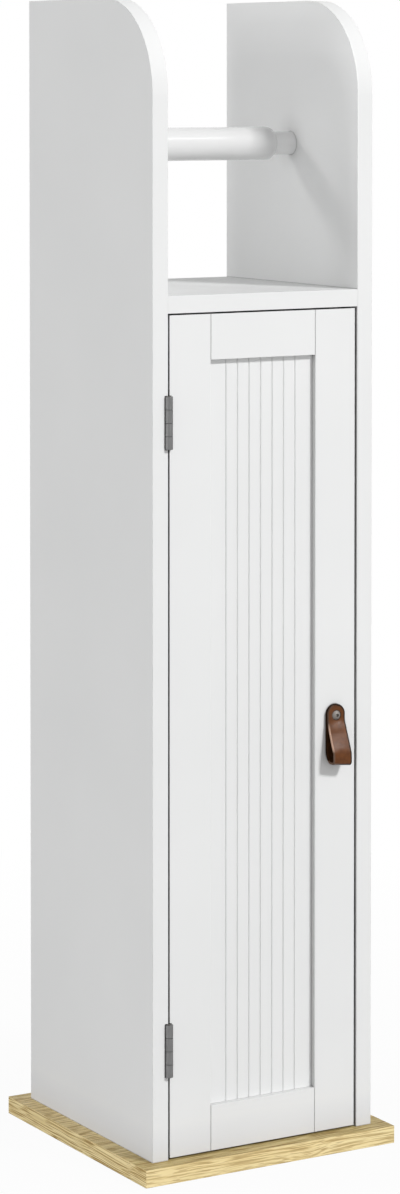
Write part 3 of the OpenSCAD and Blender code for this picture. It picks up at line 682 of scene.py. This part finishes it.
def front_relief(from_head, across, up, half_width):
    """How far the front layer stands out: sunk round the screw's head, and bowed where it slants."""
    swell = smooth_step(from_head / PRESS_REACH) * smooth_step((up - PRESS_BOTTOM) / PRESS_FADE)
    return PRESS_DEPTH * swell + CROWN * slant_share(up) * (1 - (across / half_width) ** 2)


def leather_pull(*finishes):
    """A strap folded in half: flat together under the screw, open in a loop below it."""
    low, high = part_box("leather_pull")
    head_low, head_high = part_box("pull_screw")
    screw_up = (head_low.z + head_high.z) / 2 - low.z
    middle = (low.x + high.x) / 2
    half_width = (high.x - low.x) / 2
    edge_r = LEATHER_T / 2
    flat_r = half_width - edge_r
    rows = strap_rows(strap_run(high.z - low.z - half_width))
    section = strap_section()
    last_row = len(rows) - 1
    last_column = len(section) - 1

    strap = bmesh.new()
    bmesh.ops.create_grid(strap, x_segments=last_column, y_segments=last_row, size=1)
    from_edge = strap.verts.layers.float.new("from_edge")
    painted_highlight = strap.verts.layers.float.new("painted_highlight")
    outwards = strap.verts.layers.float.new("outwards")
    for vert in strap.verts:
        flat, edge_turn = section[round((vert.co.x + 1) / 2 * last_column)]
        row = round((vert.co.y + 1) / 2 * last_row)
        place, along, end_turn = rows[row]
        bulge = edge_r * math.cos(edge_turn)
        lift = edge_r * math.sin(edge_turn)
        across = math.copysign(flat_r * abs(flat) + bulge, flat) * math.cos(end_turn)
        past = (flat_r + bulge) * math.sin(end_turn)
        out = place.x + along.y * lift
        up = place.y - along.x * lift + past
        vert[outwards] = math.sin(edge_turn)
        vert[from_edge] = half_width - math.hypot(across, past)
        # Painted shade: the right edge, on its shaded side, stays dark further in.
        if across > 0:
            vert[from_edge] -= RIGHT_EDGE_PAINTED_SHADE
        if place.x > LOOP_STARTS_OUT or row > last_row / 2:
            from_head = math.hypot(across, up - screw_up) - SCREW_HEAD_R
            # Painted shade round the screw's head and along the loop's underside.
            near_head = max(from_head, 0) + HEAD_PAINTED_SHADE
            near_underside = max(up - LOOP_PAINTED_SHADE_UP, 0)
            vert[from_edge] = min(vert[from_edge], near_head, near_underside)
            # Painted highlight along the front layer's left edge.
            vert[painted_highlight] = painted_highlight_share(across, up)
            out += front_relief(from_head, across, up, half_width)
        out += TURN * across * smooth_step((out - TURN_OUT) / TURN_GROWS)
        up -= SKEW * across * (1 - smooth_step((up - SKEW_TOP) / SKEW_FADE))
        vert.co = (middle + across, high.y - out, low.z + up)
    bmesh.ops.remove_doubles(strap, verts=strap.verts, dist=JOINED_WITHIN)
    bmesh.ops.recalc_face_normals(strap, faces=strap.faces)
    for face in strap.faces:
        face.smooth = True
        side = sum(vert[outwards] for vert in face.verts) / len(face.verts)
        if side > FLAT_SIDE:
            face.material_index = OUTER_SIDE
        elif side < -FLAT_SIDE:
            face.material_index = FLESH_SIDE
        else:
            face.material_index = CUT_EDGE

    piece = new_piece("folded_leather_pull", strap, *finishes)
    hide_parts("leather_pull")
    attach(piece, "door")


# ---------- Roller spring ----------

WIRE_R = 0.0005
WIRE_SIDES = 8
SPRING_COILS = 14
STEPS_A_COIL = 20
END_PITCH = 0.0015  # the first and the last coil lie close


def roller_spring(finish):
    """The wire spring inside the barrel, wound at one length; the real one shortens as the plunger is pushed
    in.
    """
    low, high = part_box("roller_spring")
    middle = (low + high) / 2
    coil_r = (high.y - low.y) / 2 - WIRE_R
    length = high.x - low.x
    open_coils = SPRING_COILS - 2
    open_pitch = (length - 2 * WIRE_R - 2 * END_PITCH) / open_coils

    wire = bmesh.new()
    ring = bmesh.ops.create_circle(wire, segments=WIRE_SIDES, radius=WIRE_R)["verts"]
    bmesh.ops.translate(wire, verts=ring, vec=(low.x + WIRE_R, middle.y + coil_r, middle.z))
    end = wire.verts[:] + wire.edges[:]
    for coils, pitch in ((1, END_PITCH), (open_coils, open_pitch), (1, END_PITCH)):
        wound = bmesh.ops.spin(
            wire,
            geom=end,
            cent=middle,
            axis=(1, 0, 0),
            dvec=(pitch / STEPS_A_COIL, 0, 0),
            angle=2 * math.pi * coils,
            steps=coils * STEPS_A_COIL,
            use_duplicate=False,
        )
        end = [part for part in wound["geom_last"] if not isinstance(part, bmesh.types.BMFace)]
    bmesh.ops.holes_fill(wire, edges=[edge for edge in wire.edges if edge.is_boundary], sides=0)
    bmesh.ops.remove_doubles(wire, verts=wire.verts, dist=JOINED_WITHIN)
    bmesh.ops.recalc_face_normals(wire, faces=wire.faces)
    for face in wire.faces:
        face.smooth = len(face.verts) == 4

    piece = new_piece("wound_roller_spring", wire, finish)
    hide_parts("roller_spring")
    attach(piece, "roller")
    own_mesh(piece)


# ---------- Dressing ----------

ROLLER_WHITE = 0.785
# Painted light: the plunger's neck, in the side panel's shade, is made whiter than the barrel.
NECK_PAINTED_LIGHT_WHITE = 0.87


def slot_finishes():
    """The finish of each material slot in the record."""
    return {
        "oak": oak(),
        "white_paint": white_paint("satin_white_paint", jointed=True),
        "white_hardboard": white_hardboard(),
        "dowel_wood": bare_wood(),
        "zinc_steel": zinc_plate(),
        "hinge_steel": hinge_steel(),
        "spring_steel": spring_wire(),
        "white_plastic": matt_plastic(),
        "gloss_white_plastic": gloss_plastic("gloss_white_plastic", ROLLER_WHITE),
        "dark_ferrite": ferrite(),
        "brown_leather": leather(),
    }


def own_finishes():
    """The finishes of the pieces whose painted light and shade differ from their slot's finish."""
    # Painted shade on the frame's steps, stronger on the stiles than on the rails.
    stile_paint = white_paint("satin_white_stile_paint", jointed=True, painted_step_tone=STILE_STEP_PAINTED_SHADE)
    rail_paint = white_paint("satin_white_rail_paint", jointed=True, painted_step_tone=RAIL_STEP_PAINTED_SHADE)
    return {
        "door_left_stile": stile_paint,
        "door_right_stile": stile_paint,
        "door_top_rail": rail_paint,
        "door_bottom_rail": rail_paint,
        "door_panel": white_paint("satin_white_panel_paint"),
        "right_side_panel": white_paint("satin_white_bay_paint", jointed=True, bay_side=True),
        "roll_bay_shelf": white_paint("satin_white_shelf_paint", jointed=True, painted_top_shade=SHELF_TOP_PAINTED_SHADE),
        # Painted light: a whiter copy of the gloss plastic for the neck.
        "roller_plunger": gloss_plastic("gloss_white_neck_painted_light_plastic", NECK_PAINTED_LIGHT_WHITE),
    }


def dress_cabinet():
    by_slot = slot_finishes()
    by_name = own_finishes()
    for part in frame["record"]["subparts"]:
        name = part["node"]
        slots = nodes[name].data.materials
        slots.clear()
        slots.append(by_name.get(name, by_slot[part["material_slot"]]))
    leather_pull(by_slot["brown_leather"], leather_edge(), leather_inside())
    roller_spring(by_slot["spring_steel"])


# ---------- Room ----------

FLOOR_REACH = 12
FLOOR_GREY = (0.45, 0.45, 0.45, 1)
FLOOR_NEAR = 0.15  # the floor starts to whiten this far from the cabinet's middle
FLOOR_FAR = 0.9
FLOOR_NEAR_WHITE = 0.96
LAMPS_AIM_UP = 0.4


def pale_floor():
    """A pale floor that keeps a soft shadow near the cabinet and turns white further out."""
    finish = Finish("pale_floor")
    finish.set(Roughness=0.9, Specular_IOR_Level=0.1, Base_Color=FLOOR_GREY)
    distance = finish.add("ShaderNodeVectorMath", operation="LENGTH")
    finish.feed(distance.inputs[0], finish.place)
    whiteness = finish.ranged(distance.outputs["Value"], FLOOR_NEAR, FLOOR_FAR, FLOOR_NEAR_WHITE, 1)
    glow = finish.add("ShaderNodeEmission")
    blend = finish.add("ShaderNodeMixShader")
    finish.feed(blend.inputs["Fac"], finish.times(finish.seen_directly(), whiteness))
    finish.feed(blend.inputs[1], finish.shader.outputs["BSDF"])
    finish.feed(blend.inputs[2], glow.outputs["Emission"])
    finish.feed(finish.tree.nodes["Material Output"].inputs["Surface"], blend.outputs["Shader"])
    return finish.material


def make_floor():
    sheet = bmesh.new()
    bmesh.ops.create_grid(sheet, x_segments=1, y_segments=1, size=FLOOR_REACH)
    new_piece("floor", sheet, pale_floor())


def new_lamp(name, data, direction):
    """A lamp that shines on the cabinet from the direction."""
    lamp = bpy.data.objects.new(name, data)
    bpy.context.scene.collection.objects.link(lamp)
    lamp.rotation_mode = "QUATERNION"
    lamp.rotation_quaternion = Vector(direction).to_track_quat("Z", "Y")
    return lamp


def area_light(name, direction, distance, power, width, height):
    """A flat lamp, near enough that its light fades towards the floor."""
    data = bpy.data.lights.new(name, "AREA")
    data.shape = "RECTANGLE"
    data.energy = power
    data.size = width
    data.size_y = height
    lamp = new_lamp(name, data, direction)
    lamp.location = Vector(direction).normalized() * distance + Vector((0, 0, LAMPS_AIM_UP))


def distant_light(name, direction, strength, spread):
    data = bpy.data.lights.new(name, "SUN")
    data.energy = strength
    data.angle = math.radians(spread)
    new_lamp(name, data, direction)


def make_world(level, overhead):
    """A white room that lights the cabinet softly, less from overhead, and is plain white where it shows."""
    world = bpy.data.worlds.new("white_room")
    bpy.context.scene.world = world
    world.use_nodes = True
    room = Nodes(world.node_tree)
    background = room.tree.nodes["Background"]
    background.inputs["Color"].default_value = (1, 1, 1, 1)
    height = room.part_of(room.add("ShaderNodeTexCoord").outputs["Generated"], "Z")
    soft_light = room.ranged(height, 0, 1, level, overhead)
    room.feed(background.inputs["Strength"], room.ranged(room.seen_directly(), 0, 1, soft_light, 1))


make_camera()
dress_cabinet()
make_floor()
make_world(level=0.86, overhead=0.14)
area_light("key_light", (0.45, -1, 0.82), distance=7.5, power=329, width=1.19, height=0.69)
area_light("strip_light", (0.508, -0.618, 0.6), distance=7.5, power=17, width=1.5, height=0.6)
distant_light("back_light", (-0.75, 0.766, 0.643), strength=0.47, spread=11)
distant_light("left_light", (-1, 0, 0.15), strength=0.485, spread=14)
bpy.context.scene.view_settings.view_transform = "Standard"
